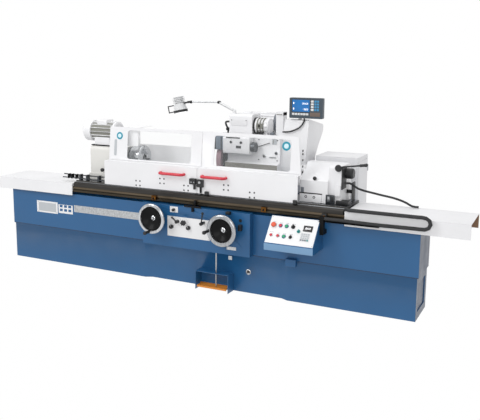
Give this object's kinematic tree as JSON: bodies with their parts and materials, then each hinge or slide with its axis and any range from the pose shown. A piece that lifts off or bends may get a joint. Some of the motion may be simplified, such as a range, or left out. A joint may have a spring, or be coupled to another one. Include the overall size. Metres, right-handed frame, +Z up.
{
  "type": "cylindrical grinding machine",
  "caption": "Floor-standing cylindrical grinder: long bed, travelling and swivelling table with chuck head and tailstock, cross-sliding wheel head, splash doors, handwheels and console.",
  "frame": {"origin": "on the floor, below the work axis, at the middle of the bed's length", "axes": "+X along the bed towards the tailstock (the operator's right), +Y away from the operator, +Z up"},
  "size_m": [4.545, 1.777, 1.657],
  "materials": {
    "blue_enamel": "satin enamel on cast iron and sheet steel",
    "white_enamel": "satin enamel on castings and sheet steel",
    "dark_enamel": "dark satin enamel",
    "orange_enamel": "worn enamel",
    "ground_iron": "ground",
    "bright_steel": "turned and ground",
    "wheel_alloy": "polished rim, black dish",
    "yellow_metal": "machined",
    "black_plastic": "moulded",
    "lamp_shell": "moulded shell",
    "black_hose": "ribbed hose",
    "red_plastic": "moulded",
    "green_plastic": "moulded",
    "clear_pane": "clear",
    "abrasive": "vitrified grain"
  },
  "bodies": {
    "bed": {"bed_casting": "blue_enamel", "table_cylinder": "ground_iron", "apron_casting": "blue_enamel", "console_box": "blue_enamel", "pedal_guard": "blue_enamel", "rear_splash_guard": "white_enamel", "electrical_cabinet": "white_enamel", "conduit_loop": "black_hose"},
    "travelling_table": {"lower_table": "ground_iron", "piston_rod": "bright_steel", "left_way_cover": "white_enamel", "right_way_cover": "white_enamel"},
    "dog_left": {"trip_dog_left": "yellow_metal"},
    "dog_right": {"trip_dog_right": "yellow_metal"},
    "swivel_table": {"upper_table": "ground_iron", "workhead_housing": "white_enamel", "workhead_motor": "white_enamel", "tailstock_housing": "white_enamel", "tailstock_hose": "black_hose"},
    "door_left": {"left_door": "white_enamel", "left_window": "clear_pane", "left_door_handle": "red_plastic", "door_interlock": "black_plastic"},
    "door_right": {"right_door": "white_enamel", "right_window": "clear_pane", "right_door_handle": "red_plastic"},
    "chuck": {"chuck_body": "bright_steel"},
    "jaw_1": {"chuck_jaw_1": "bright_steel"},
    "jaw_2": {"chuck_jaw_2": "bright_steel"},
    "jaw_3": {"chuck_jaw_3": "bright_steel"},
    "quill": {"tailstock_quill": "bright_steel"},
    "quill_lever": {"tailstock_lever": "black_plastic"},
    "wheelhead": {"wheelhead_slide": "dark_enamel", "wheelhead_housing": "white_enamel", "wheel_guard": "dark_enamel", "belt_guard": "white_enamel", "wheel_motor": "dark_enamel", "internal_motor": "white_enamel", "coolant_pipe": "black_plastic"},
    "wheel": {"grinding_wheel": "abrasive", "wheel_spindle": "bright_steel"},
    "bracket": {"internal_bracket": "white_enamel"},
    "inner_spindle": {"internal_spindle": "dark_enamel"},
    "lamp_low": {"lamp_lower_arm": "lamp_shell"},
    "lamp_up": {"lamp_upper_arm": "black_plastic"},
    "lamp": {"lamp_head": "lamp_shell"},
    "readout": {"readout_display": "black_plastic"},
    "traverse_wheel": {"traverse_handwheel": "wheel_alloy"},
    "infeed_wheel": {"infeed_handwheel": "wheel_alloy"},
    "reverser": {"reversing_lever": "bright_steel"},
    "starter": {"start_lever": "black_plastic"},
    "throttle": {"throttle_knob": "black_plastic"},
    "dwell": {"dwell_knob": "black_plastic"},
    "pedal": {"foot_pedal": "orange_enamel"},
    "pull_rod": {"pedal_rod": "bright_steel"},
    "stop_button": {"emergency_stop": "red_plastic"},
    "pump_start_button": {"hydraulic_start": "green_plastic"},
    "pump_stop_button": {"hydraulic_stop": "red_plastic"},
    "wheel_start_button": {"wheel_start": "green_plastic"},
    "selector": {"mode_selector": "black_plastic"}
  },
  "joints": [
    {"name": "table_travel", "type": "slide", "parent": "bed", "child": "travelling_table", "axis": [1, 0, 0], "range_m": [-0.58, 0.36]},
    {"name": "table_swivel", "type": "hinge", "parent": "travelling_table", "child": "swivel_table", "pos_m": [0.0945, -0.07, 0.785], "axis": [0, 0, 1], "range_deg": [-3, 3]},
    {"name": "dog_left_slide", "type": "slide", "parent": "travelling_table", "child": "dog_left", "axis": [1, 0, 0], "range_m": [-0.8, 0]},
    {"name": "dog_right_slide", "type": "slide", "parent": "travelling_table", "child": "dog_right", "axis": [1, 0, 0], "range_m": [0, 0.6]},
    {"name": "door_left_slide", "type": "slide", "parent": "swivel_table", "child": "door_left", "axis": [1, 0, 0], "range_m": [-0.4, 0]},
    {"name": "door_right_slide", "type": "slide", "parent": "swivel_table", "child": "door_right", "axis": [1, 0, 0], "range_m": [0, 0.4]},
    {"name": "chuck_spin", "type": "hinge", "parent": "swivel_table", "child": "chuck", "pos_m": [-0.68, 0, 1.07], "axis": [1, 0, 0], "continuous": true},
    {"name": "jaw_1_slide", "type": "slide", "parent": "chuck", "child": "jaw_1", "axis": [0, 0, 1], "range_m": [-0.015, 0.03]},
    {"name": "jaw_2_slide", "type": "slide", "parent": "chuck", "child": "jaw_2", "axis": [0, -0.866, -0.5], "range_m": [-0.015, 0.03]},
    {"name": "jaw_3_slide", "type": "slide", "parent": "chuck", "child": "jaw_3", "axis": [0, 0.866, -0.5], "range_m": [-0.015, 0.03]},
    {"name": "quill_slide", "type": "slide", "parent": "swivel_table", "child": "quill", "axis": [1, 0, 0], "range_m": [0, 0.04]},
    {"name": "quill_lever_turn", "type": "hinge", "parent": "swivel_table", "child": "quill_lever", "pos_m": [1.322, -0.13, 1.127], "axis": [0, -1, 0], "range_deg": [0, 60]},
    {"name": "infeed_slide", "type": "slide", "parent": "bed", "child": "wheelhead", "axis": [0, -1, 0], "range_m": [0, 0.2]},
    {"name": "wheel_spin", "type": "hinge", "parent": "wheelhead", "child": "wheel", "pos_m": [0.07, 0.39, 1.07], "axis": [1, 0, 0], "continuous": true},
    {"name": "bracket_fold", "type": "hinge", "parent": "wheelhead", "child": "bracket", "pos_m": [0.2, 0.217, 1.312], "axis": [1, 0, 0], "range_deg": [-75, 0]},
    {"name": "inner_spindle_spin", "type": "hinge", "parent": "bracket", "child": "inner_spindle", "pos_m": [0.2, 0.18, 1.21], "axis": [1, 0, 0], "continuous": true},
    {"name": "lamp_swivel", "type": "hinge", "parent": "wheelhead", "child": "lamp_low", "pos_m": [0.19, 0.28, 1.507], "axis": [0, 0, 1], "range_deg": [-60, 60]},
    {"name": "lamp_elbow", "type": "hinge", "parent": "lamp_low", "child": "lamp_up", "pos_m": [0.03, 0.28, 1.594], "axis": [0, 1, 0], "range_deg": [-25, 45]},
    {"name": "lamp_tilt", "type": "hinge", "parent": "lamp_up", "child": "lamp", "pos_m": [-0.293, 0.28, 1.587], "axis": [0, 1, 0], "range_deg": [-28, 32]},
    {"name": "readout_tilt", "type": "hinge", "parent": "wheelhead", "child": "readout", "pos_m": [0.79, 0.3583, 1.567], "axis": [1, 0, 0], "range_deg": [-15, 15]},
    {"name": "traverse_turn", "type": "hinge", "parent": "bed", "child": "traverse_wheel", "pos_m": [-0.265, -0.34, 0.605], "axis": [0, 1, 0], "continuous": true},
    {"name": "infeed_turn", "type": "hinge", "parent": "bed", "child": "infeed_wheel", "pos_m": [0.425, -0.34, 0.575], "axis": [0, 1, 0], "continuous": true},
    {"name": "reverser_rock", "type": "hinge", "parent": "bed", "child": "reverser", "pos_m": [0.099, -0.34, 0.7], "axis": [0, 1, 0], "range_deg": [-12, 12]},
    {"name": "start_lever_turn", "type": "hinge", "parent": "bed", "child": "starter", "pos_m": [0.207, -0.34, 0.6], "axis": [0, 1, 0], "range_deg": [-30, 30]},
    {"name": "throttle_turn", "type": "hinge", "parent": "bed", "child": "throttle", "pos_m": [0.02, -0.34, 0.584], "axis": [0, 1, 0], "range_deg": [-135, 135]},
    {"name": "dwell_turn", "type": "hinge", "parent": "bed", "child": "dwell", "pos_m": [-0.052, -0.34, 0.585], "axis": [0, 1, 0], "range_deg": [-60, 60]},
    {"name": "pedal_press", "type": "hinge", "parent": "bed", "child": "pedal", "pos_m": [0.281, -0.25, 0.034], "axis": [1, 0, 0], "range_deg": [0, 8], "stiffness_Nm_per_rad": 20, "springref_deg": -11.46},
    {"name": "pull_rod_drop", "type": "slide", "parent": "bed", "child": "pull_rod", "axis": [0, 0, -1], "range_m": [0, 0.0068]},
    {"name": "stop_button_press", "type": "slide", "parent": "bed", "child": "stop_button", "axis": [0, 0.7673, -0.6413], "range_m": [0, 0.004], "stiffness_N_per_m": 800, "springref_m": -0.002},
    {"name": "pump_start_press", "type": "slide", "parent": "bed", "child": "pump_start_button", "axis": [0, 0.7673, -0.6413], "range_m": [0, 0.004], "stiffness_N_per_m": 500, "springref_m": -0.002},
    {"name": "pump_stop_press", "type": "slide", "parent": "bed", "child": "pump_stop_button", "axis": [0, 0.7673, -0.6413], "range_m": [0, 0.004], "stiffness_N_per_m": 500, "springref_m": -0.002},
    {"name": "wheel_start_press", "type": "slide", "parent": "bed", "child": "wheel_start_button", "axis": [0, 0.7673, -0.6413], "range_m": [0, 0.004], "stiffness_N_per_m": 500, "springref_m": -0.002},
    {"name": "selector_turn", "type": "hinge", "parent": "bed", "child": "selector", "pos_m": [1.048, -0.39926, 0.6689], "axis": [0, -0.7673, 0.6413], "range_deg": [-45, 45]}
  ],
  "couplings": [
    {"joint": "jaw_2_slide", "follows": "jaw_1_slide", "ratio": 1},
    {"joint": "jaw_3_slide", "follows": "jaw_1_slide", "ratio": 1},
    {"joint": "quill_slide", "follows": "quill_lever_turn", "m_per_rad": 0.038},
    {"joint": "pull_rod_drop", "follows": "pedal_press", "m_per_rad": 0.048}
  ]
}
